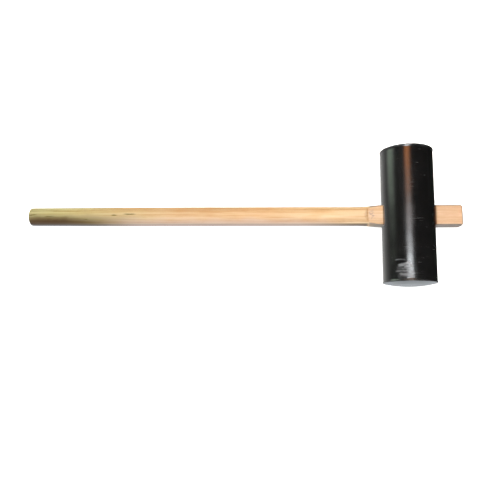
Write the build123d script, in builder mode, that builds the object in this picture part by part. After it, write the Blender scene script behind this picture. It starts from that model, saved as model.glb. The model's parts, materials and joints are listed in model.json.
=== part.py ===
"""Long-handled rubber maul: a solid moulded rubber head on a wedged ash handle.

Frame, in millimetres: the origin is the middle of the round grip, on its axis.
+X runs along the handle to the head, +Y along the head and +Z square to both.
"""

from build123d import *
import math
import os

# Handle, in order from the butt to the far end of the tenon
butt_taper_length = 216.5
grip_length = 480.0
flare_length = 50.0
tenon_lead = 4.0
tenon_protrusion = 54.5

butt_diameter = 38.0
grip_diameter = 40.0
butt_edge_radius = 3.0
tenon_height = 43.0
tenon_thickness = 30.0
tenon_chamfer = 2.8
tenon_corner_radius = 4.5
flat_lead = 26.0
plane_run = 14.0

# Rubber head
head_diameter = 109.0
head_length = 281.0
crown_height = 6.5
rim_lip_depth = 0.7
rim_lip_length = 5.0
rim_edge_radius = 0.8

# Wedges driven into the far end of the tenon
wood_wedge_length = 82.0
wood_wedge_back = 5.0
wood_wedge_tip = 1.2
steel_wedge_length = 24.0
steel_wedge_width = 22.0
steel_wedge_back = 3.2
steel_wedge_tip = 0.8
steel_wedge_spacing = 20.0

# Places along the handle, worked out from the sizes above
grip_end_x = grip_length / 2
grip_start_x = -grip_end_x
butt_x = grip_start_x - butt_taper_length
tenon_start_x = grip_end_x + flare_length
head_radius = head_diameter / 2
eye_x = tenon_start_x + tenon_lead + head_radius
tenon_end_x = eye_x + head_radius + tenon_protrusion
flat_start_x = tenon_start_x - flat_lead
plane_start_x = flat_start_x - plane_run

# How far the tenon's chamfers and its outermost corners stand from the handle's axis
grip_radius = grip_diameter / 2
half_height = tenon_height / 2
half_thickness = tenon_thickness / 2
chamfer_reach = (half_height + half_thickness - tenon_chamfer) / 2**0.5
corner_reach = max(
    math.hypot(half_height, half_thickness - tenon_chamfer),
    math.hypot(half_height - tenon_chamfer, half_thickness),
)

# Where the planes of the flare's sides and chamfers start, clear of the round grip
side_start = max(half_height, grip_radius)
chamfer_start = max(chamfer_reach, grip_radius)
chamfer_slope = math.degrees(math.atan((chamfer_start - chamfer_reach) / flare_length))

rim_radius = head_radius + rim_lip_depth
rim_y = head_length / 2

os.makedirs("parts", exist_ok=True)


def across_handle(x):
    """A sketch plane square to the handle at x, with its own x along +Y and its own y along +Z."""
    return Plane(origin=(x, 0, 0), x_dir=(0, 1, 0), z_dir=(1, 0, 0))


def wedge_outline(length, back, tip):
    """The four corners of a wedge with its back at the handle's far end, tip inwards."""
    return [
        (tenon_end_x - length, -tip / 2),
        (tenon_end_x, -back / 2),
        (tenon_end_x, back / 2),
        (tenon_end_x - length, tip / 2),
    ]


# Grip: turned round, with a gentle taper to the rounded edge of the butt
with BuildPart() as grip:
    with BuildSketch(Plane.XY):
        with BuildLine():
            Polyline(
                (grip_end_x, grip_radius),
                (grip_end_x, 0),
                (butt_x, 0),
                (butt_x, butt_diameter / 2),
                (grip_start_x, grip_radius),
                close=True,
            )
        make_face()
    revolve(axis=Axis.X)
    fillet(grip.edges().filter_by(GeomType.CIRCLE).sort_by(Axis.X)[0], radius=butt_edge_radius)

# Flare: turned so that it swells from the grip to the tenon's corners, then planed down on its
# wide faces, its sides and its chamfers
with BuildPart() as flare:
    with BuildSketch(Plane.XY):
        with BuildLine():
            Polyline(
                (tenon_start_x, corner_reach),
                (tenon_start_x, 0),
                (grip_end_x, 0),
                (grip_end_x, grip_radius),
            )
            TangentArc((grip_end_x, grip_radius), (tenon_start_x, corner_reach), tangent=(1, 0))
        make_face()
    revolve(axis=Axis.X)
    with BuildSketch(Plane.XZ):
        with BuildLine():
            Polyline(
                (grip_end_x, -corner_reach),
                (plane_start_x, -corner_reach),
                (flat_start_x, -half_thickness),
                (tenon_start_x, -half_thickness),
                (tenon_start_x, half_thickness),
                (flat_start_x, half_thickness),
                (plane_start_x, corner_reach),
                (grip_end_x, corner_reach),
                close=True,
            )
        make_face()
    extrude(amount=corner_reach, both=True, mode=Mode.INTERSECT)
    with BuildSketch(Plane.XY):
        with BuildLine():
            Polyline(
                (grip_end_x, -side_start),
                (tenon_start_x, -half_height),
                (tenon_start_x, half_height),
                (grip_end_x, side_start),
                close=True,
            )
        make_face()
    extrude(amount=corner_reach, both=True, mode=Mode.INTERSECT)
    with BuildSketch(across_handle(grip_end_x)):
        Rectangle(2 * chamfer_start, 2 * chamfer_start, rotation=45)
    extrude(amount=flare_length, taper=chamfer_slope, mode=Mode.INTERSECT)

# Tenon: passes right through the head and stands out past it, with its far corners rounded
# and the arrises of both wide faces chamfered
with BuildPart() as tenon:
    with BuildSketch(Plane.XY) as tenon_face:
        with BuildLine():
            Polyline(
                (tenon_start_x, -half_height),
                (tenon_end_x, -half_height),
                (tenon_end_x, half_height),
                (tenon_start_x, half_height),
                close=True,
            )
        make_face()
        fillet(tenon_face.vertices().group_by(Axis.X)[-1], radius=tenon_corner_radius)
    extrude(amount=half_thickness, both=True)
    arrises = ShapeList()
    for wide_face in tenon.faces().filter_by(Axis.Z):
        arrises += wide_face.edges().sort_by(Axis.X)[1:]
    chamfer(arrises, length=tenon_chamfer)

# Slot for the wooden wedge, across the tenon's thickness and right through its height
with BuildPart() as wood_wedge_slot:
    with BuildSketch(Plane.XZ):
        with BuildLine():
            Polyline(*wedge_outline(wood_wedge_length, wood_wedge_back, wood_wedge_tip), close=True)
        make_face()
    extrude(amount=tenon_height, both=True)

# Steel wedges: driven across the wooden wedge and flush with the end grain
with BuildPart() as steel_wedges:
    for side in (-1, 1):
        with BuildSketch(Plane(origin=(0, side * steel_wedge_spacing / 2, 0))):
            with BuildLine():
                Polyline(
                    *wedge_outline(steel_wedge_length, steel_wedge_back, steel_wedge_tip),
                    close=True,
                )
            make_face()
        extrude(amount=steel_wedge_width / 2, both=True)
steel_wedges.part.label = "steel_wedges"
export_step(steel_wedges.part, "parts/steel_wedges.step")

with BuildPart() as handle:
    add(grip.part)
    add(flare.part)
    add(tenon.part)
    add(wood_wedge_slot.part, mode=Mode.SUBTRACT)
    add(steel_wedges.part, mode=Mode.SUBTRACT)
handle.part.label = "handle"
export_step(handle.part, "parts/handle.step")

# Wooden wedge: fills its slot and is trimmed flush with the tenon
with BuildPart() as wood_wedge:
    add(tenon.part)
    add(wood_wedge_slot.part, mode=Mode.INTERSECT)
    add(steel_wedges.part, mode=Mode.SUBTRACT)
wood_wedge.part.label = "wood_wedge"
export_step(wood_wedge.part, "parts/wood_wedge.step")

# Rubber head: a solid cylinder with crowned striking faces, a small moulded lip round each
# rim and an eye moulded to the tenon
with BuildPart() as rubber_head:
    with BuildSketch(Plane.XY):
        with BuildLine():
            Polyline(
                (eye_x, rim_y + crown_height),
                (eye_x, -rim_y - crown_height),
            )
            ThreePointArc(
                (eye_x, -rim_y - crown_height),
                (eye_x + rim_radius / 2, -rim_y - crown_height * 3 / 4),
                (eye_x + rim_radius, -rim_y),
            )
            Polyline(
                (eye_x + rim_radius, -rim_y),
                (eye_x + head_radius, -rim_y + rim_lip_length),
                (eye_x + head_radius, rim_y - rim_lip_length),
                (eye_x + rim_radius, rim_y),
            )
            ThreePointArc(
                (eye_x + rim_radius, rim_y),
                (eye_x + rim_radius / 2, rim_y + crown_height * 3 / 4),
                (eye_x, rim_y + crown_height),
            )
        make_face()
    revolve(axis=Axis((eye_x, 0, 0), (0, 1, 0)))
    rims = rubber_head.edges().filter_by(Plane.XZ).group_by(SortBy.RADIUS)[-1]
    fillet(rims, radius=rim_edge_radius)
    with BuildSketch(across_handle(eye_x - rim_radius)):
        Rectangle(tenon_height, tenon_thickness)
        Rectangle(2 * chamfer_reach, 2 * chamfer_reach, rotation=45, mode=Mode.INTERSECT)
    extrude(amount=2 * rim_radius, mode=Mode.SUBTRACT)
rubber_head.part.label = "rubber_head"
export_step(rubber_head.part, "parts/rubber_head.step")
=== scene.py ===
"""Looks of the long-handled rubber maul: rubber head, ash handle and its wedges, on a pale floor."""

import bmesh
import bpy
import json
import math
from mathutils import Matrix, Vector, noise


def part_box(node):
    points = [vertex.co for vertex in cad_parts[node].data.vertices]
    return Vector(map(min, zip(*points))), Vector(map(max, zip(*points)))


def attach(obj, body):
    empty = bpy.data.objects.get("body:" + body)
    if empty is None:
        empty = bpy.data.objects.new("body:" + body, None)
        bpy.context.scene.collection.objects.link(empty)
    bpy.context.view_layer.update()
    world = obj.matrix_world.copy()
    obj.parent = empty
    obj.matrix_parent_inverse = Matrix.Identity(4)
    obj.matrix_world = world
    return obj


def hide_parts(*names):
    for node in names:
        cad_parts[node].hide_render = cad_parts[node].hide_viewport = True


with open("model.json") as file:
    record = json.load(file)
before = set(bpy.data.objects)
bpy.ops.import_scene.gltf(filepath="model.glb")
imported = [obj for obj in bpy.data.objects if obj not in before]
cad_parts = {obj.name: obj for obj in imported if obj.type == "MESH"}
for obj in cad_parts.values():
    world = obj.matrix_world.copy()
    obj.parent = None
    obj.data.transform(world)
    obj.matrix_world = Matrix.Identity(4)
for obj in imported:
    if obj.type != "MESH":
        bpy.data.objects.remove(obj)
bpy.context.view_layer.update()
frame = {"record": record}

# ---------------------------------------------------------------- places read from the frame
head_low, head_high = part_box("rubber_head")
handle_low, handle_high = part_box("handle")
wedge_low, wedge_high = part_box("wood_wedge")
steel_low, steel_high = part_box("steel_wedges")
MOUNT = frame["record"]["mounts"][0]

EYE_X = (head_low[0] + head_high[0]) / 2
GRIP_RADIUS = MOUNT["dims"]["r_mm"] / 1000
GRIP_END = MOUNT["dims"]["length_mm"] / 2000
BUTT_X = handle_low[0]
TENON_END = handle_high[0]
HALF_HEIGHT = handle_high[1]
RIM_RADIUS = (head_high[0] - head_low[0]) / 2
HALF_HEAD = head_high[1]
WEDGE_HALF_BACK = wedge_high[2]
STEEL_HALF_WIDTH = steel_high[2]

# Sizes of the model that the frame's boxes don't give, in metres
LIP_DEPTH = 0.0007
LIP_LENGTH = 0.005
CROWN = 0.0065
RIM_ROUND = 0.0008
BUTT_RADIUS = 0.019
BUTT_ROUND = 0.003
FLARE_LENGTH = 0.050
FLAT_LEAD = 0.026
PLANE_RUN = 0.014
HALF_THICKNESS = 0.015
ARRIS = 0.0028
CORNER_ROUND = 0.0045
WEDGE_TIP = 0.0012
STEEL_BACK = 0.0032
STEEL_TIP = 0.0008
STEEL_SPACING = 0.020

# Gaps in the visual model between the wedges and the handle, and between the handle and the rubber
SLACK = 0.0001
EYE_GAP = 0.00015

# How far the cutters stand clear of what they cut: the slot's from the axis, the eye's past the wall
SLOT_REACH = 0.03
EYE_REACH = 0.01

HEAD_RADIUS = RIM_RADIUS - LIP_DEPTH
RIM_Y = HALF_HEAD - CROWN
TENON_START = GRIP_END + FLARE_LENGTH
FLAT_START = TENON_START - FLAT_LEAD
CORNER_REACH = math.hypot(HALF_HEIGHT, HALF_THICKNESS - ARRIS)
CHAMFER_REACH = (HALF_HEIGHT + HALF_THICKNESS - ARRIS) / math.sqrt(2)


# ---------------------------------------------------------------- node and mesh helpers
class Shader:
    """The nodes of a material or a world, made by short calls that take numbers, colours or sockets."""

    def __init__(self, owner):
        self.owner = owner
        owner.use_nodes = True
        self.tree = owner.node_tree
        self.tree.nodes.clear()
        coordinates = self.node("ShaderNodeTexCoord")
        self.place = coordinates.outputs["Object"]
        self.direction = coordinates.outputs["Generated"]

    def node(self, kind, inputs=None, **settings):
        made = self.tree.nodes.new(kind)
        for name, value in settings.items():
            setattr(made, name, value)
        for name, value in (inputs or {}).items():
            if isinstance(value, bpy.types.NodeSocket):
                self.tree.links.new(value, made.inputs[name])
            else:
                made.inputs[name].default_value = value
        return made

    def math(self, operation, first, second=0.0, clamp=False):
        made = self.node("ShaderNodeMath", {0: first, 1: second}, operation=operation, use_clamp=clamp)
        return made.outputs[0]

    def split(self, vector):
        return self.node("ShaderNodeSeparateXYZ", {0: vector}).outputs

    def join(self, x, y, z):
        return self.node("ShaderNodeCombineXYZ", {0: x, 1: y, 2: z}).outputs[0]

    def stretch(self, vector, x, y, z, shift=(0, 0, 0)):
        made = self.node("ShaderNodeMapping", {"Vector": vector, "Location": shift, "Scale": (x, y, z)})
        return made.outputs[0]

    def noise(self, vector, scale=1.0, detail=3.0, roughness=0.5):
        made = self.node("ShaderNodeTexNoise", {
            "Vector": vector, "Scale": scale, "Detail": detail, "Roughness": roughness})
        return made.outputs["Fac"]

    def cell_edges(self, vector):
        made = self.node("ShaderNodeTexVoronoi", {"Vector": vector, "Scale": 1.0}, feature="DISTANCE_TO_EDGE")
        return made.outputs["Distance"]

    def span(self, value, low, high, to_low=0.0, to_high=1.0, smooth=True):
        made = self.node("ShaderNodeMapRange", {
            "Value": value, "From Min": low, "From Max": high,
            "To Min": to_low, "To Max": to_high})
        made.interpolation_type = "SMOOTHSTEP" if smooth else "LINEAR"
        made.clamp = True
        return made.outputs[0]

    def product(self, *values):
        total = values[0]
        for value in values[1:]:
            total = self.math("MULTIPLY", total, value)
        return total

    def spot(self, value, middle, reach):
        """1 at the middle, falling smoothly to 0 at reach on both sides."""
        return self.span(self.math("ABSOLUTE", self.math("SUBTRACT", value, middle)), reach, reach * 0.2)

    def mix(self, share, first, second, blend="MIX"):
        first, second = [(*colour, 1) if isinstance(colour, tuple) else colour for colour in (first, second)]
        made = self.node("ShaderNodeMix", {0: share, 6: first, 7: second}, data_type="RGBA", blend_type=blend)
        return made.outputs[2]

    def ramp(self, value, stops):
        made = self.node("ShaderNodeValToRGB", {"Fac": value})
        ramp = made.color_ramp
        while len(ramp.elements) < len(stops):
            ramp.elements.new(0.5)
        for element, (position, colour) in zip(ramp.elements, stops):
            element.position = position
            element.color = (*colour, 1.0)
        return made.outputs["Color"]

    def bump(self, height, distance, strength, normal=None):
        inputs = {"Height": height, "Distance": distance, "Strength": strength}
        if normal is not None:
            inputs["Normal"] = normal
        return self.node("ShaderNodeBump", inputs).outputs[0]

    def finish(self, **inputs):
        names = {"colour": "Base Color", "roughness": "Roughness", "normal": "Normal", "metallic": "Metallic",
                 "ior": "IOR", "specular": "Specular IOR Level"}
        surface = self.node("ShaderNodeBsdfPrincipled", {names[key]: value for key, value in inputs.items()})
        self.node("ShaderNodeOutputMaterial", {"Surface": surface.outputs[0]})
        return self.owner


def srgb(red, green, blue):
    """A linear colour from 0 to 255 display values."""
    def linear(value):
        value = value / 255
        return value / 12.92 if value <= 0.04045 else ((value + 0.055) / 1.055) ** 2.4
    return (linear(red), linear(green), linear(blue))


def add_object(name, verts, faces, material, smooth_angle):
    """A mesh object that rides on the root body, with edges sharper than smooth_angle left sharp."""
    mesh = bpy.data.meshes.new(name)
    mesh.from_pydata(verts, [], faces)
    mesh.validate()
    work = bmesh.new()
    work.from_mesh(mesh)
    bmesh.ops.recalc_face_normals(work, faces=work.faces)
    for face in work.faces:
        face.smooth = True
    for edge in work.edges:
        if len(edge.link_faces) == 2:
            edge.smooth = edge.calc_face_angle(0) < math.radians(smooth_angle)
    work.to_mesh(mesh)
    work.free()
    piece = bpy.data.objects.new(name, mesh)
    bpy.context.scene.collection.objects.link(piece)
    mesh.materials.append(material)
    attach(piece, "root")
    return piece


def ease(low, high, value):
    """0 below low, 1 above high and a smooth step between."""
    share = min(1.0, max(0.0, (value - low) / (high - low)))
    return share * share * (3 - 2 * share)


def soft_min(values, softness):
    """The smallest of some lengths, rounded off where two of them are nearly equal."""
    least = min(values)
    total = sum(math.exp(-(value - least) / softness) for value in values)
    return least - softness * math.log(total)


def loft_rings(rings):
    """Verts and faces of a closed form through rings of equal size, closed by a point at each end."""
    count = len(rings[0])
    verts = [point for ring in rings for point in ring]
    faces = []
    for row in range(len(rings) - 1):
        for step in range(count):
            following = (step + 1) % count
            base = row * count
            faces.append((base + step, base + following, base + count + following, base + count + step))
    for ring, first in ((rings[0], 0), (rings[-1], (len(rings) - 1) * count)):
        centre = sum((Vector(point) for point in ring), Vector()) / count
        verts.append(tuple(centre))
        for step in range(count):
            faces.append((first + step, first + (step + 1) % count, len(verts) - 1))
    return verts, faces


def loft_grid(name, rings, material, smooth_angle):
    """A piece lofted through rings and closed at both ends."""
    verts, faces = loft_rings(rings)
    return add_object(name, verts, faces, material, smooth_angle)


def prism(outline, low, high, place):
    """A closed prism: place(u, v, w) puts the outline's points (u, v) at the depths w of low and high."""
    count = len(outline)
    verts = [place(u, v, low) for u, v in outline] + [place(u, v, high) for u, v in outline]
    faces = [tuple(range(count)), tuple(range(2 * count - 1, count - 1, -1))]
    for step in range(count):
        following = (step + 1) % count
        faces.append((step, following, count + following, count + step))
    mesh = bpy.data.meshes.new("cutter")
    mesh.from_pydata(verts, [], faces)
    work = bmesh.new()
    work.from_mesh(mesh)
    bmesh.ops.recalc_face_normals(work, faces=work.faces)
    work.to_mesh(mesh)
    work.free()
    cutter = bpy.data.objects.new("cutter", mesh)
    bpy.context.scene.collection.objects.link(cutter)
    return cutter


def carve(piece, cutter):
    """Cuts the cutter's shape out of a piece for good, and removes the cutter."""
    sharp_angle = math.radians(40)
    tiny = 1e-7
    change = piece.modifiers.new("carve", "BOOLEAN")
    change.operation = "DIFFERENCE"
    change.solver = "EXACT"
    change.object = cutter
    bpy.context.view_layer.update()
    evaluated = piece.evaluated_get(bpy.context.evaluated_depsgraph_get())
    carved = bpy.data.meshes.new_from_object(evaluated)
    piece.modifiers.clear()
    piece.data = carved
    bpy.data.objects.remove(cutter)
    work = bmesh.new()
    work.from_mesh(carved)
    bmesh.ops.remove_doubles(work, verts=work.verts, dist=tiny)
    bmesh.ops.dissolve_degenerate(work, edges=work.edges, dist=tiny)
    for edge in work.edges:
        if len(edge.link_faces) == 2 and edge.calc_face_angle(0) > sharp_angle:
            edge.smooth = False
    work.to_mesh(carved)
    work.free()


# ---------------------------------------------------------------- materials
# The line of sight from the head to the camera leans this far from the vertical, towards -X
LEAN = math.radians(12.8)

# Marks on the rubber: start and end round the head and along it, bend, half width and strength.
# The rubs make up the pale smear, and the last two are the haze round it.
RUBS = [
    ((0.032, -0.0975), (0.006, -0.0980), 0.0006, 0.0024, 0.32),
    ((0.026, -0.1100), (-0.003, -0.1020), -0.0015, 0.0048, 0.95),
    ((0.014, -0.1134), (-0.009, -0.1100), 0.0008, 0.0038, 0.90),
    ((0.020, -0.1165), (-0.004, -0.1150), 0.0000, 0.0022, 0.50),
    ((0.032, -0.1214), (-0.007, -0.1194), 0.0006, 0.0028, 0.60),
    ((0.024, -0.1256), (-0.009, -0.1272), -0.0008, 0.0038, 0.90),
    ((0.008, -0.1340), (-0.010, -0.1325), 0.0000, 0.0028, 0.75),
    ((0.030, -0.1180), (-0.008, -0.1130), 0.0000, 0.0120, 0.24),
    ((0.028, -0.1300), (-0.012, -0.1270), 0.0000, 0.0090, 0.22),
]
SCRATCHES = [
    ((0.039, -0.0505), (0.014, -0.0480), 0.0004, 0.0006, 0.5),
    ((0.036, -0.0600), (0.026, -0.0525), 0.0003, 0.0005, 0.4),
    ((-0.030, -0.0710), (-0.048, -0.0735), 0.0004, 0.0007, 0.6),
    ((-0.034, -0.0760), (-0.044, -0.0765), 0.0, 0.0004, 0.4),
    ((0.020, 0.0080), (-0.010, 0.0040), 0.0006, 0.0005, 0.10),
    ((0.004, 0.0500), (-0.020, 0.0530), 0.0005, 0.0004, 0.25),
]
# Where the marks are counted from: a line along the head, this far round from the +X side
MARKS_TURN = math.pi / 2 + LEAN


def stroke(s, along, length, mark):
    """How much of one mark covers a place, given round the head and along it."""
    (start, low), (end, high), bend, half_width, strength = mark
    share = s.span(along, start, end, smooth=False)
    rise = s.math("ADD", low, s.math("MULTIPLY", share, high - low))
    arch = s.product(share, s.math("SUBTRACT", 1.0, share), 4 * bend)
    offset = s.math("SUBTRACT", length, s.math("ADD", rise, arch))
    body = s.spot(offset, 0.0, half_width)
    ends = s.math("MULTIPLY", s.span(share, 0.0, 0.25), s.span(share, 1.0, 0.85))
    return s.product(body, ends, strength)


def strokes(s, along, length, marks):
    """The strongest of some marks at a place."""
    strongest = 0.0
    for mark in marks:
        strongest = s.math("MAXIMUM", strongest, stroke(s, along, length, mark))
    return strongest


def rubber():
    """Black moulded rubber, wiped and scratched, with a pale smear near one striking face."""
    s = Shader(bpy.data.materials.new("rubber"))
    x, y, z = s.split(s.place)
    turn = s.math("ARCTAN2", z, s.math("SUBTRACT", x, EYE_X))
    along = s.math("MULTIPLY", s.math("SUBTRACT", turn, MARKS_TURN), HEAD_RADIUS)
    wall = s.join(along, y, 0.0)

    cloud = s.noise(s.place, scale=18.0, detail=4.0, roughness=0.6)
    wipes = s.noise(s.stretch(wall, 16, 420, 1), detail=3.0, roughness=0.6)
    patches = s.noise(s.place, scale=30.0, detail=3.0)
    base = s.ramp(cloud, [(0.3, srgb(9, 9, 9)), (0.6, srgb(13, 13, 13)), (0.85, srgb(18, 18, 17))])

    bristles = s.noise(s.stretch(wall, 26, 620, 1, shift=(0.4, 0, 0)), detail=4.0, roughness=0.65)
    warped = s.math("ADD", y, s.math("MULTIPLY", s.math("SUBTRACT", patches, 0.5), 0.004))
    smear = strokes(s, along, warped, RUBS)
    smear = s.math("MULTIPLY", smear, s.span(bristles, 0.36, 0.60, 0.35, 1.0))
    scratch = strokes(s, along, y, SCRATCHES)

    # Hair scratches in all directions, only here and there, and fine wiping marks round the head
    hairs = s.cell_edges(s.stretch(wall, 60, 210, 1))
    hairs = s.math("MULTIPLY", s.span(hairs, 0.020, 0.004), s.span(patches, 0.54, 0.68))
    wiped = s.math("MULTIPLY", s.span(wipes, 0.50, 0.72), s.span(cloud, 0.42, 0.62))
    base = s.mix(s.math("MULTIPLY", wiped, 0.05), base, srgb(120, 118, 118))
    base = s.mix(s.math("MULTIPLY", hairs, 0.015), base, srgb(140, 140, 140))
    base = s.mix(s.math("MULTIPLY", scratch, 0.10), base, srgb(120, 120, 124))
    base = s.mix(s.math("MULTIPLY", smear, 0.52), base, srgb(168, 169, 172))

    # The edge of each striking face is greyer than the wall: partly worn rubber, partly a painted reflection
    # along the lip
    from_middle = s.math("ABSOLUTE", y)
    rim_wear_and_sheen = s.math("MULTIPLY", s.span(from_middle, RIM_Y - 0.006, RIM_Y), s.span(patches, 0.35, 0.65))
    base = s.mix(s.math("MULTIPLY", rim_wear_and_sheen, 0.09), base, srgb(150, 150, 150))
    face = s.span(from_middle, RIM_Y - 0.0002, RIM_Y + 0.0004)
    base = s.mix(s.math("MULTIPLY", face, 0.10), base, srgb(150, 150, 152))

    roughness = s.math("ADD", s.span(cloud, 0.3, 0.75, 0.19, 0.25), s.math("MULTIPLY", smear, 0.25))
    roughness = s.math("ADD", roughness, s.math("MULTIPLY", wiped, 0.05))
    roughness = s.math("ADD", roughness, s.math("MULTIPLY", face, 0.15))
    swell = s.bump(s.noise(s.place, scale=34.0, detail=3.0), 0.0008, 0.42)
    grain = s.bump(s.noise(s.place, scale=900.0, detail=2.0), 0.00005, 0.3, swell)
    brushed = s.bump(wipes, 0.00006, 0.35, grain)
    cuts = s.math("MAXIMUM", s.math("MULTIPLY", hairs, 0.25), scratch)
    normal = s.bump(s.math("SUBTRACT", 1.0, cuts), 0.00003, 0.4, brushed)
    return s.finish(colour=base, roughness=roughness, normal=normal, ior=1.5, specular=0.5)


# Dark flecks in the butt's wood: place along and across the handle, half length and half width
FLECKS = [
    (-0.4470, 0.0000, 0.0130, 0.0015),
    (-0.4110, -0.0036, 0.0120, 0.0010),
    (-0.2700, 0.0008, 0.0090, 0.0005),
    (-0.2370, 0.0006, 0.0170, 0.0009),
    (-0.3320, -0.0080, 0.0070, 0.0005),
]


def ash():
    """Sanded ash: long grain along the handle, olive at the butt, greyer where it was sawn, with painted
    shade on its -Y side, its edges and where it meets the rubber.
    """
    s = Shader(bpy.data.materials.new("ash_wood"))
    x, y, z = s.split(s.place)

    # Growth rings round a pith off the handle's axis, which wanders along the handle
    pith_y, pith_below, wander = 0.004, 0.060, 0.028
    rings_per_metre = 200.0
    drift = s.noise(s.stretch(s.place, 4.5, 20, 20), detail=2.0)
    wave = s.math("MULTIPLY", s.math("SUBTRACT", drift, 0.5), wander)
    across_y = s.math("ADD", s.math("SUBTRACT", y, pith_y), wave)
    across_z = s.math("ADD", z, pith_below)
    distance = s.math("SQRT", s.math("ADD", s.product(across_y, across_y), s.product(across_z, across_z)))
    ring = s.math("FRACT", s.math("MULTIPLY", distance, rings_per_metre))
    early = s.math("MULTIPLY", s.span(ring, 0.0, 0.25), s.span(ring, 0.80, 0.30))

    # Fibres and open pores: short dashes along the handle
    fibres = s.noise(s.stretch(s.place, 22, 900, 900), detail=3.0, roughness=0.6)
    streaks = s.noise(s.stretch(s.place, 7, 230, 230), detail=4.0, roughness=0.6)
    blotches = s.noise(s.stretch(s.place, 22, 60, 60, shift=(5, 0, 0)), detail=3.0)
    pores = s.span(s.noise(s.stretch(s.place, 130, 2600, 2600), detail=1.0), 0.60, 0.70)
    pores = s.math("MULTIPLY", pores, s.math("ADD", 0.25, early))

    # Colour runs from olive at the butt through tan to peach beside the head
    along = s.span(x, BUTT_X, TENON_END, smooth=False)
    pale = s.ramp(along, [
        (0.0, srgb(205, 197, 144)), (0.08, srgb(210, 200, 144)), (0.20, srgb(214, 192, 145)),
        (0.34, srgb(216, 184, 144)), (0.55, srgb(224, 189, 147)), (0.70, srgb(232, 201, 158)),
        (0.85, srgb(230, 198, 160)), (1.0, srgb(234, 196, 157))])
    dark = s.ramp(along, [
        (0.0, srgb(160, 146, 92)), (0.08, srgb(172, 154, 96)), (0.20, srgb(190, 158, 102)),
        (0.34, srgb(196, 152, 102)), (0.55, srgb(204, 154, 102)), (0.70, srgb(208, 160, 108)),
        (0.85, srgb(206, 160, 114)), (1.0, srgb(208, 156, 112))])
    share = s.math("ADD", s.math("MULTIPLY", early, 0.62), s.span(streaks, 0.42, 0.62, 0.0, 0.62))
    share = s.math("ADD", share, s.span(blotches, 0.45, 0.75, 0.0, 0.25), clamp=True)
    colour = s.mix(share, pale, dark)
    colour = s.mix(s.span(fibres, 0.5, 0.75, 0.0, 0.30), colour, dark)
    colour = s.mix(s.math("MULTIPLY", pores, 0.45), colour, srgb(146, 102, 62))

    # The -Y side of the butt is darker: partly a dark stain, partly painted shade on the side away from the
    # light
    ragged = s.math("ADD", y, s.math("MULTIPLY", s.math("SUBTRACT", blotches, 0.5), 0.012))
    ragged = s.math("ADD", ragged, s.math("MULTIPLY", s.math("SUBTRACT", streaks, 0.5), 0.006))
    stain_and_shade = s.math("MULTIPLY", s.span(x, -0.15, -0.40), s.span(ragged, 0.009, -0.014))
    colour = s.mix(s.math("MULTIPLY", stain_and_shade, 0.95), colour, srgb(70, 42, 17))

    # The -Y flank is painted dark grey up to the planed faces, a painted shade, and the tenon is mottled
    # beyond the head
    low_flank_shade = s.product(s.span(y, -0.0155, -0.0190), s.span(x, FLAT_START + 0.003, FLAT_START - 0.004))
    colour = s.mix(s.math("MULTIPLY", low_flank_shade, 0.85), colour, srgb(90, 82, 78))
    mottle = s.noise(s.stretch(s.place, 60, 240, 60), detail=3.0)
    beyond = s.math("MULTIPLY", s.span(x, EYE_X, EYE_X + 0.01), s.span(mottle, 0.40, 0.58))
    colour = s.mix(s.math("MULTIPLY", beyond, 0.38), colour, srgb(208, 158, 114))

    # The -Y side of the grip is greyer and pinker, and the +Y side browner
    grip_band = s.math("MULTIPLY", s.span(x, -0.33, -0.20), s.span(x, 0.25, 0.12))
    colour = s.mix(s.product(grip_band, s.span(ragged, -0.004, -0.016), 0.55), colour, srgb(206, 180, 168))
    browned = s.product(grip_band, s.span(x, 0.16, 0.02), s.span(ragged, 0.008, 0.019), 0.35)
    colour = s.mix(browned, colour, srgb(206, 144, 82))

    # Dark flecks lie along the grain on top
    upper = s.span(z, 0.0, 0.004)
    for place, side, half_length, half_width in FLECKS:
        fleck = s.math("MULTIPLY", s.spot(x, place, half_length), s.spot(ragged, side, half_width * 1.6))
        colour = s.mix(s.product(fleck, upper, 0.75), colour, srgb(92, 84, 34))

    # The planed wide faces are paler, with a smudge where the plane came out of the wood
    from_axis = s.math("ABSOLUTE", z)
    planed = s.math("MULTIPLY", s.span(x, FLAT_START - 0.0004, FLAT_START + 0.0004),
                    s.span(from_axis, HALF_THICKNESS - 0.0010, HALF_THICKNESS - 0.0003))
    colour = s.mix(s.math("MULTIPLY", planed, 0.34), colour, srgb(226, 196, 166))
    smudge = s.noise(s.stretch(s.place, 160, 260, 60, shift=(2, 7, 0)), detail=4.0, roughness=0.65)
    smudge = s.product(s.span(smudge, 0.46, 0.66), s.spot(x, FLAT_START + 0.008, 0.011),
                       s.span(y, 0.014, 0.007), s.span(y, -0.012, -0.004), planed)
    colour = s.mix(s.math("MULTIPLY", smudge, 0.75), colour, srgb(160, 132, 128))

    # Side faces, the -Y chamfer and the end grain are grey: partly the saw's grey wood, partly painted shade
    # on the -Y underside and on the end's edge
    flanks_and_shaded_chamfer = s.math("MAXIMUM", s.span(y, HALF_HEIGHT - 0.0007, HALF_HEIGHT - 0.0001),
                    s.span(y, ARRIS - HALF_HEIGHT, ARRIS - 0.0005 - HALF_HEIGHT))
    sides = s.math("MULTIPLY", s.span(x, FLAT_START, TENON_START), flanks_and_shaded_chamfer)
    ends = s.math("MAXIMUM", s.span(x, BUTT_X + 0.0006, BUTT_X + 0.0001),
                  s.span(x, TENON_END - 0.0022, TENON_END - 0.0016))
    vessels = s.span(s.noise(s.stretch(s.place, 300, 1500, 1500), detail=2.0), 0.55, 0.68)
    sawn = s.mix(s.span(early, 0.2, 0.8, 0.0, 0.5), srgb(166, 152, 134), srgb(126, 106, 86))
    sawn = s.mix(s.math("MULTIPLY", vessels, 0.5), sawn, srgb(96, 80, 62))
    colour = s.mix(s.math("MULTIPLY", s.math("MAXIMUM", sides, ends), 0.9), colour, sawn)
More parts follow.
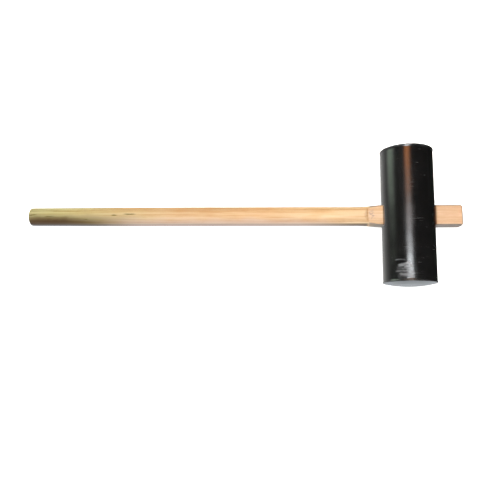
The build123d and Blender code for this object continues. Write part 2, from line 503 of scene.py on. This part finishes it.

    # Where the handle enters and leaves the eye the wood is darkened: painted contact shadow, with some
    # rubbed-off rubber, and a brown painted shade on the leaving side
    from_eye = s.math("SUBTRACT", x, EYE_X)
    reach = s.math("SQRT", s.math("ADD", s.product(from_eye, from_eye), s.product(z, z)))
    contact_shade = s.span(reach, HEAD_RADIUS + 0.0032, HEAD_RADIUS + 0.0012)
    exit_shade = s.math("MULTIPLY", s.span(reach, HEAD_RADIUS + 0.0070, HEAD_RADIUS), s.span(from_eye, 0.0, 0.01))
    colour = s.mix(s.math("MULTIPLY", exit_shade, 0.45), colour, srgb(150, 96, 52))
    colour = s.mix(s.math("MULTIPLY", contact_shade, 0.80), colour, srgb(62, 34, 16))

    # All of it has darkened with age, and the tenon's chamfers and sides are painted greyer, a painted shade
    colour = s.mix(1.0, colour, (0.89, 0.90, 0.90), "MULTIPLY")
    shaded_edges = s.math("MULTIPLY", s.span(x, FLAT_START, FLAT_START + 0.004),
                     s.span(from_axis, HALF_THICKNESS - 0.0005, HALF_THICKNESS - 0.0012))
    colour = s.mix(s.math("MULTIPLY", shaded_edges, 0.70), colour, srgb(120, 110, 104))

    saw_marks = s.noise(s.stretch(s.place, 1400, 60, 60), detail=2.0)
    height = s.math("SUBTRACT", s.math("MULTIPLY", fibres, 0.4), pores)
    height = s.math("ADD", height, s.math("MULTIPLY", saw_marks, s.math("MULTIPLY", sides, 0.8)))
    normal = s.bump(height, 0.00012, 0.45)
    roughness = s.span(streaks, 0.3, 0.7, 0.42, 0.58)
    return s.finish(colour=colour, roughness=roughness, normal=normal, ior=1.45, specular=0.22)


def wedge_wood():
    """Rough sawn dark hardwood, its fibres crushed at the back by the hammer."""
    s = Shader(bpy.data.materials.new("wedge_wood"))
    streaks = s.noise(s.stretch(s.place, 30, 500, 500), detail=4.0)
    crushed = s.noise(s.stretch(s.place, 200, 900, 900), detail=3.0)
    colour = s.ramp(streaks, [(0.3, srgb(92, 58, 34)), (0.6, srgb(134, 90, 56)), (0.8, srgb(160, 114, 74))])
    colour = s.mix(s.span(crushed, 0.5, 0.7, 0.0, 0.5), colour, srgb(70, 46, 30))
    normal = s.bump(s.noise(s.place, scale=1500.0, detail=2.0), 0.0002, 0.6)
    return s.finish(colour=colour, roughness=s.span(streaks, 0.3, 0.7, 0.6, 0.8), normal=normal)


def wedge_steel():
    """Dull mill steel with rust in its pits, brighter where the hammer struck it."""
    s = Shader(bpy.data.materials.new("wedge_steel"))
    marks = s.noise(s.place, scale=700.0, detail=4.0, roughness=0.7)
    rust = s.noise(s.place, scale=260.0, detail=4.0, roughness=0.6)
    colour = s.ramp(marks, [
        (0.35, srgb(90, 86, 84)), (0.55, srgb(150, 149, 148)), (0.7, srgb(120, 112, 104))])
    colour = s.mix(s.span(rust, 0.55, 0.68, 0.0, 0.8), colour, srgb(112, 66, 36))
    normal = s.bump(marks, 0.0002, 0.5)
    roughness = s.span(marks, 0.3, 0.7, 0.35, 0.65)
    return s.finish(colour=colour, metallic=0.85, roughness=roughness, normal=normal)


# ---------------------------------------------------------------- handle
def turned_radius(x):
    """Radius of the round stick at x, swelling along an arc at the flare."""
    if x < -GRIP_END:
        share = (x - BUTT_X) / (-GRIP_END - BUTT_X)
        radius = BUTT_RADIUS + (GRIP_RADIUS - BUTT_RADIUS) * share
        into_round = BUTT_ROUND - (x - BUTT_X)
        if into_round > 0:
            radius -= BUTT_ROUND - math.sqrt(max(0.0, BUTT_ROUND**2 - into_round**2))
        return radius
    if x < GRIP_END:
        return GRIP_RADIUS
    share = min(1.0, (x - GRIP_END) / FLARE_LENGTH)
    return GRIP_RADIUS + (CORNER_REACH - GRIP_RADIUS) * share * share + max(0.0, x - TENON_START)


def wide_face(x):
    """Distance of the planed wide faces from the handle's axis."""
    if x > FLAT_START:
        return HALF_THICKNESS
    return HALF_THICKNESS + (FLAT_START - x) / PLANE_RUN * (CORNER_REACH - HALF_THICKNESS)


def sanding(x):
    """How far the edges are sanded round at x: a little on the flare, hardly on the planed faces."""
    before_planed = ease(GRIP_END, GRIP_END + 0.008, x) * (1 - ease(FLAT_START - 0.006, FLAT_START, x))
    return 0.00006 + 0.0002 * before_planed


def quarter_turns():
    """Angles from +Y to +Z for a ring's points, with the tenon's corners exactly among them."""
    low = math.atan2(HALF_THICKNESS - ARRIS, HALF_HEIGHT)
    high = math.atan2(HALF_THICKNESS, HALF_HEIGHT - ARRIS)
    near = math.radians(0.5)
    turns = [(low - near) * step / 10 for step in range(10)]
    turns += [low - near, low, low + near]
    turns += [low + near + (high - low - 2 * near) * step / 4 for step in range(1, 4)]
    turns += [high - near, high, high + near]
    turns += [high + near + (math.pi / 2 - high - near) * step / 14 for step in range(1, 14)]
    return turns


def ring_turns():
    """Angles of a ring's points all the way round, from the quarter's."""
    quarter = quarter_turns()
    turns = quarter + [math.pi / 2] + [math.pi - turn for turn in reversed(quarter)]
    return turns + [turn + math.pi for turn in turns[1:-1]]


def handle_ring(x, turns):
    """Points round the handle at x: the turned circle trimmed by the side, wide and chamfer planes."""
    into_corner = max(0.0, CORNER_ROUND - (TENON_END - x))
    side = HALF_HEIGHT - CORNER_ROUND + math.sqrt(max(0.0, CORNER_ROUND**2 - into_corner**2))
    lost = max(0.0, ARRIS - (TENON_END - x))
    face = wide_face(x) - lost
    cut = (side + HALF_THICKNESS - ARRIS) / math.sqrt(2)
    ring = []
    for turn in turns:
        y, z = abs(math.cos(turn)), abs(math.sin(turn))
        reach = [turned_radius(x)]
        if x > GRIP_END:
            reach += [side / max(y, 1e-6), face / max(z, 1e-6), cut / ((y + z) / math.sqrt(2))]
        length = soft_min(reach, sanding(x)) if len(reach) > 1 else reach[0]
        ring.append((x, length * math.cos(turn), length * math.sin(turn)))
    return ring


def spread(start, end, count):
    """Evenly spaced places after start, up to and with end."""
    return [start + (end - start) * step / count for step in range(1, count + 1)]


def wedge_slot(start, middle, half_tip, half_back):
    """Outline of a wedge's slot with a little slack all round, open at the handle's far end."""
    low, high = half_tip + SLACK, half_back + SLACK
    return [(start, middle - low), (TENON_END + SLACK, middle - high),
            (TENON_END + SLACK, middle + high), (start, middle + low)]


def build_handle():
    """The whole stick in one mesh, with its rings closest where the form changes, sawn for the wedges."""
    places = [BUTT_X + BUTT_ROUND * (1 - math.cos(math.pi / 2 * step / 8)) for step in range(9)]
    places += spread(places[-1], GRIP_END, 110)
    places += spread(GRIP_END, FLAT_START, 40)
    places += spread(FLAT_START, TENON_START, 36)
    places += spread(TENON_START, TENON_END - CORNER_ROUND, 30)
    places += [TENON_END - CORNER_ROUND * (1 - math.sin(math.pi / 2 * step / 16)) for step in range(1, 17)]
    turns = ring_turns()
    piece = loft_grid("ash_handle", [handle_ring(x, turns) for x in places], ash(), 20)

    # The wooden wedge's slot goes right through the tenon's height, and the steel ones only so deep
    slot = wedge_slot(wedge_low[0], 0.0, WEDGE_TIP / 2, WEDGE_HALF_BACK)
    carve(piece, prism(slot, -SLOT_REACH, SLOT_REACH, lambda u, v, w: (u, w, v)))
    half_cut = STEEL_HALF_WIDTH + SLACK
    for side in (-1, 1):
        slot = wedge_slot(steel_low[0], side * STEEL_SPACING / 2, STEEL_TIP / 2, STEEL_BACK / 2)
        carve(piece, prism(slot, -half_cut, half_cut, lambda u, v, w: (u, v, w)))

    # The handle stays out of reflections, because dull rubber hardly mirrors it
    piece.visible_glossy = False
    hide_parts("handle")


# ---------------------------------------------------------------- rubber head
def head_profile():
    """Place along the head and radius, from the middle of one striking face to the middle of the other."""
    crown_radius = (RIM_RADIUS**2 + CROWN**2) / (2 * CROWN)

    def crown_height(radius):
        return math.sqrt(crown_radius**2 - radius**2) - (crown_radius - CROWN)

    edge = RIM_RADIUS - RIM_ROUND
    radii = [edge * math.sqrt(step / 26) for step in range(1, 27)]
    half = [(RIM_Y + crown_height(radius), radius) for radius in radii]
    top = half[-1][0]
    for step in range(1, 6):
        turn = math.pi / 2 * step / 5
        half.append((top - RIM_ROUND * (1 - math.cos(turn)), edge + RIM_ROUND * math.sin(turn)))
    lip_end = RIM_Y - LIP_LENGTH
    half += [(place, HEAD_RADIUS + LIP_DEPTH * ease(lip_end, RIM_Y - 0.001, place))
             for place in spread(half[-1][0], lip_end, 8)]
    inner = HALF_HEIGHT + 0.008
    half += [(place, HEAD_RADIUS) for place in spread(lip_end, inner, 62)]
    half += [(place, HEAD_RADIUS) for place in spread(inner, 0.0, 52)]
    return half + [(-place, radius) for place, radius in reversed(half[:-1])]


def eye_distance(y, z):
    """Distance outside the eye's outline, negative inside it."""
    y, z = abs(y), abs(z)
    return max(y - HALF_HEIGHT, z - HALF_THICKNESS, (y + z) / math.sqrt(2) - CHAMFER_REACH)


def build_head():
    """Slightly uneven moulding; the rubber rolls into the eye where the tenon enters and leaves."""
    count = 256
    lip_roll = 0.0012
    roll_depth = 0.0005
    wall_swell = 0.00022
    face_swell = 0.002
    rim_band = 0.001
    rings = []
    for place, radius in head_profile():
        ring = []
        for step in range(count):
            turn = 2 * math.pi * step / count
            z = radius * math.sin(turn)
            on_wall = min(1.0, max(0.0, (RIM_Y - rim_band - abs(place)) / 0.004))
            spot = Vector((math.cos(turn) * 1.6, place * 22, math.sin(turn) * 1.6))
            uneven = wall_swell * (1 + noise.noise(spot)) * on_wall
            outside = eye_distance(place, z)
            roll = roll_depth * (1 - ease(0.0, lip_roll, outside)) if outside > 0 else roll_depth
            beside_eye = abs(math.cos(turn)) > 0.5
            length = radius - uneven - (roll if beside_eye and abs(place) < HALF_HEIGHT + 0.01 else 0.0)
            if abs(place) > RIM_Y - rim_band:
                length = radius * (1 - face_swell * (1 + noise.noise(spot * 3)))
            ring.append((EYE_X + length * math.cos(turn), place, length * math.sin(turn)))
        rings.append(ring)
    piece = loft_grid("rubber_maul_head", rings, rubber(), 50)

    # The eye's outline, a little wider than the tenon
    high, thick = HALF_HEIGHT + EYE_GAP, HALF_THICKNESS + EYE_GAP
    reach = CHAMFER_REACH * math.sqrt(2) + EYE_GAP
    quarter = [(high, reach - high), (reach - thick, thick)]
    outline = quarter + [(-y, z) for y, z in reversed(quarter)]
    outline += [(-y, -z) for y, z in outline]
    carve(piece, prism(outline, head_low[0] - EYE_REACH, head_high[0] + EYE_REACH, lambda u, v, w: (w, u, v)))
    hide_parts("rubber_head")


# ---------------------------------------------------------------- wedges
def wedge_rings(start, half_tip, half_back, half_span, place, dents, seed):
    """Rings along a wedge from tip to back, with rounded long edges and a dented back."""
    bevel = 0.0003
    steps, parts = 16, 6
    rings = []
    for step in range(steps + 1):
        share = step / steps
        half = half_tip + (half_back - half_tip) * share
        half_here = half - (bevel if step == steps else 0.0)
        span_here = half_span - (bevel if step == steps else 0.0)
        small = min(bevel, half_here * 0.4)
        corners = [(half_here, span_here - small), (half_here - small, span_here),
                   (small - half_here, span_here), (-half_here, span_here - small),
                   (-half_here, small - span_here), (small - half_here, -span_here),
                   (half_here - small, -span_here), (half_here, small - span_here)]
        ring = []
        for index, (across, wide) in enumerate(corners):
            following = corners[(index + 1) % 8]
            for part in range(parts):
                u = across + (following[0] - across) * part / parts
                v = wide + (following[1] - wide) * part / parts
                hollow = 0.5 + 0.5 * noise.noise(Vector((u * 900, v * 260, seed)))
                dent = dents * hollow if step == steps else 0.0
                ring.append(place(start + (TENON_END - start) * share - dent, u, v))
        rings.append(ring)
    return rings


def build_wedges():
    """The hardwood wedge, a little lower than the tenon, and the two steel ones driven across it."""
    wood = wedge_rings(wedge_low[0], WEDGE_TIP / 2, WEDGE_HALF_BACK, HALF_HEIGHT - 0.0003,
                       lambda x, across, wide: (x, wide, across), 0.0006, 1.0)
    piece = loft_grid("hardwood_wedge", wood, wedge_wood(), 30)
    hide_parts("wood_wedge")
    steel = wedge_steel()
    for number, side in enumerate((-1, 1)):
        middle = side * STEEL_SPACING / 2
        rings = wedge_rings(steel_low[0], STEEL_TIP / 2, STEEL_BACK / 2, STEEL_HALF_WIDTH,
                            lambda x, across, wide: (x, middle + across, wide), 0.0004, 3.0 + side)
        piece = loft_grid(f"steel_wedge_{number + 1}", rings, steel, 30)
        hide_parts("steel_wedges")


build_handle()
build_head()
build_wedges()


# ---------------------------------------------------------------- floor, light and camera
def add_stage(name, mesh, material):
    """A piece of the stage, which isn't part of the object."""
    mesh.materials.append(material)
    piece = bpy.data.objects.new(name, mesh)
    bpy.context.scene.collection.objects.link(piece)
    return piece


def add_stage_plane(name, corners, material):
    mesh = bpy.data.meshes.new(name)
    mesh.from_pydata(corners, [], [(0, 1, 2, 3)])
    return add_stage(name, mesh, material)


def floor_material():
    """Pale and matt, lit enough by itself that only a close shadow shows on it."""
    s = Shader(bpy.data.materials.new("pale_floor"))
    mottle = s.noise(s.place, scale=3.0, detail=2.0)
    colour = s.ramp(mottle, [(0.3, (0.80, 0.80, 0.80)), (0.7, (0.84, 0.84, 0.84))])
    surface = s.node("ShaderNodeBsdfPrincipled", {
        "Base Color": colour, "Roughness": 0.9, "Emission Color": (1, 1, 1, 1), "Emission Strength": 0.8})
    s.node("ShaderNodeOutputMaterial", {"Surface": surface.outputs[0]})
    return s.owner


def build_floor():
    """The floor lies just under the head and the butt, and the rubber and the wood get no light from it."""
    slope = (RIM_RADIUS - BUTT_RADIUS) / (EYE_X - BUTT_X)
    half = 12.0
    gap = 0.0002
    corners = [(EYE_X + x, y, -RIM_RADIUS - x * slope - gap)
               for x, y in ((-half, -half), (half, -half), (half, half), (-half, half))]
    floor = add_stage_plane("floor", corners, floor_material())
    floor.visible_glossy = False
    floor.visible_diffuse = False


def build_backdrop():
    """A pale dome round the stage that only the camera sees, so that every view has a plain background."""
    radius = 11.0
    work = bmesh.new()
    bmesh.ops.create_uvsphere(work, u_segments=64, v_segments=32, radius=radius)
    mesh = bpy.data.meshes.new("backdrop")
    work.to_mesh(mesh)
    work.free()
    s = Shader(bpy.data.materials.new("pale_backdrop"))
    surface = s.node("ShaderNodeEmission", {"Color": (1, 1, 1, 1), "Strength": 1.0})
    s.node("ShaderNodeOutputMaterial", {"Surface": surface.outputs[0]})
    dome = add_stage("backdrop", mesh, s.owner)
    dome.visible_glossy = False
    dome.visible_diffuse = False
    dome.visible_shadow = False


# The overhead panel: height, half width, how far its middle is to +X of the line of sight, and ends
PANEL_Z = 1.7
PANEL_HALF_WIDTH = 0.50
PANEL_SHIFT = 0.12
PANEL_LOW, PANEL_HIGH = -0.25, 0.85
# Place, colour and brightness along it, from its -Y end to its +Y end
PANEL_GLOW = [
    (-0.25, (0.93, 0.97, 1.00), 30.0), (0.07, (0.93, 0.97, 1.00), 27.0), (0.15, (0.90, 0.95, 1.00), 11.0),
    (0.21, (0.90, 0.93, 1.00), 5.4), (0.26, (0.95, 0.95, 1.00), 4.4), (0.32, (0.99, 0.99, 1.00), 4.2),
    (0.39, (1.00, 0.93, 0.93), 2.1), (0.45, (1.00, 0.84, 0.80), 1.6), (0.50, (1.00, 0.70, 0.58), 1.6),
    (0.56, (1.00, 0.48, 0.26), 3.4), (0.62, (1.00, 0.34, 0.09), 10.5), (0.70, (1.00, 0.34, 0.09), 10.0),
]


def panel_material(middle):
    """A soft box's face: cool daylight at one end, dim in the middle and lamplight at the other end."""
    s = Shader(bpy.data.materials.new("soft_box"))
    x, y, z = s.split(s.place)
    brightest = max(glow for _, _, glow in PANEL_GLOW)
    stops = []
    for place, colour, glow in PANEL_GLOW:
        share = (place - PANEL_LOW) / (PANEL_HIGH - PANEL_LOW)
        stops.append((share, tuple(part * glow / brightest for part in colour)))
    colour = s.ramp(s.span(y, PANEL_LOW, PANEL_HIGH, smooth=False), stops)
    from_middle = s.math("ABSOLUTE", s.math("SUBTRACT", x, middle))
    fade = s.span(from_middle, PANEL_HALF_WIDTH, PANEL_HALF_WIDTH * 0.25)
    strength = s.math("MULTIPLY", fade, brightest)
    surface = s.node("ShaderNodeEmission", {"Color": colour, "Strength": strength})
    s.node("ShaderNodeOutputMaterial", {"Surface": surface.outputs[0]})
    return s.owner


def build_panel():
    """A long soft box above the head, over to the -X side, which gives the head its highlight."""
    middle = EYE_X + PANEL_SHIFT - PANEL_Z * math.tan(LEAN)
    left, right = middle - PANEL_HALF_WIDTH, middle + PANEL_HALF_WIDTH
    corners = [(left, PANEL_LOW, PANEL_Z), (left, PANEL_HIGH, PANEL_Z),
               (right, PANEL_HIGH, PANEL_Z), (right, PANEL_LOW, PANEL_Z)]
    panel = add_stage_plane("soft_box", corners, panel_material(middle))
    panel.visible_camera = False


def build_world():
    """Surroundings: dark on the +X side, grey on the -X side, bright to -Y, green on the +Y horizon."""
    s = Shader(bpy.data.worlds.new("studio"))
    x, y, z = s.split(s.direction)
    dimmest, grey_side, green_glow = 0.035, 0.12, 3.7
    left = s.span(x, 0.10, -0.35)
    below = s.span(z, 0.0, -0.85)
    front = s.span(y, -0.02, -0.22)
    back = s.math("SUBTRACT", 1.0, front)
    dim = s.math("ADD", dimmest, s.math("MULTIPLY", left, s.math("ADD", grey_side, below)))
    bright = s.span(z, 0.5, -0.3, 0.7, 1.7)
    grey = s.math("ADD", s.math("MULTIPLY", dim, back), s.math("MULTIPLY", bright, front))
    field = s.product(left, s.span(y, 0.19, 0.30), s.spot(z, 0.05, 0.42))
    colour = s.mix(field, s.mix(back, (0.90, 0.96, 1.0), (1.0, 1.0, 0.97)), (0.80, 1.0, 0.78))
    strength = s.math("ADD", grey, s.math("MULTIPLY", field, green_glow))
    surface = s.node("ShaderNodeBackground", {"Color": colour, "Strength": strength})
    s.node("ShaderNodeOutputWorld", {"Surface": surface.outputs[0]})
    bpy.context.scene.world = s.owner


def area_light(name, place, aim, size, power, colour, in_reflections=True):
    """A rectangular lamp at a place, turned to its aim."""
    data = bpy.data.lights.new(name, "AREA")
    data.shape = "RECTANGLE"
    data.size, data.size_y = size
    data.energy = power
    data.color = colour
    light = bpy.data.objects.new(name, data)
    light.location = place
    light.visible_glossy = in_reflections
    light.rotation_mode = "QUATERNION"
    light.rotation_quaternion = (Vector(aim) - Vector(place)).to_track_quat("-Z", "Y")
    bpy.context.scene.collection.objects.link(light)


def build_light():
    """The surroundings, the panel, a warm lamp to +Y, a cool one to -Y and one for the tenon's end."""
    build_world()
    build_panel()
    area_light("far_box", (0.0, 1.6, 1.5), (0, 0, 0), (1.6, 0.9), 11.5, (1.0, 0.85, 0.66))
    area_light("near_box", (0.1, -1.6, 1.3), (0, 0, 0), (1.6, 0.9), 5.5, (0.84, 0.92, 1.0))
    area_light("end_box", (2.0, 0.0, 0.5), (EYE_X, 0, 0), (0.8, 0.8), 8.0, (1.0, 0.97, 0.92),
               in_reflections=False)


def build_camera():
    """The photograph's viewpoint: above the middle of the handle and a little towards -Y."""
    data = bpy.data.cameras.new("camera")
    data.sensor_width = 36.0
    data.lens = 40.32
    data.clip_start, data.clip_end = 0.05, 50.0
    camera = bpy.data.objects.new("camera", data)
    place = Vector((0.0787, -0.2499, 1.1644))
    aim = Vector((0.0177, -0.0716, 0.0))
    roll = math.radians(0.516)
    back = (place - aim).normalized()
    level = Vector((0, 1, 0)).cross(back).normalized()
    right = level * math.cos(roll) + back.cross(level) * math.sin(roll)
    camera.location = place
    camera.rotation_euler = Matrix((right, back.cross(right), back)).transposed().to_euler()
    bpy.context.scene.collection.objects.link(camera)
    bpy.context.scene.camera = camera


build_floor()
build_backdrop()
build_light()
build_camera()
bpy.context.scene.view_settings.view_transform = "Standard"
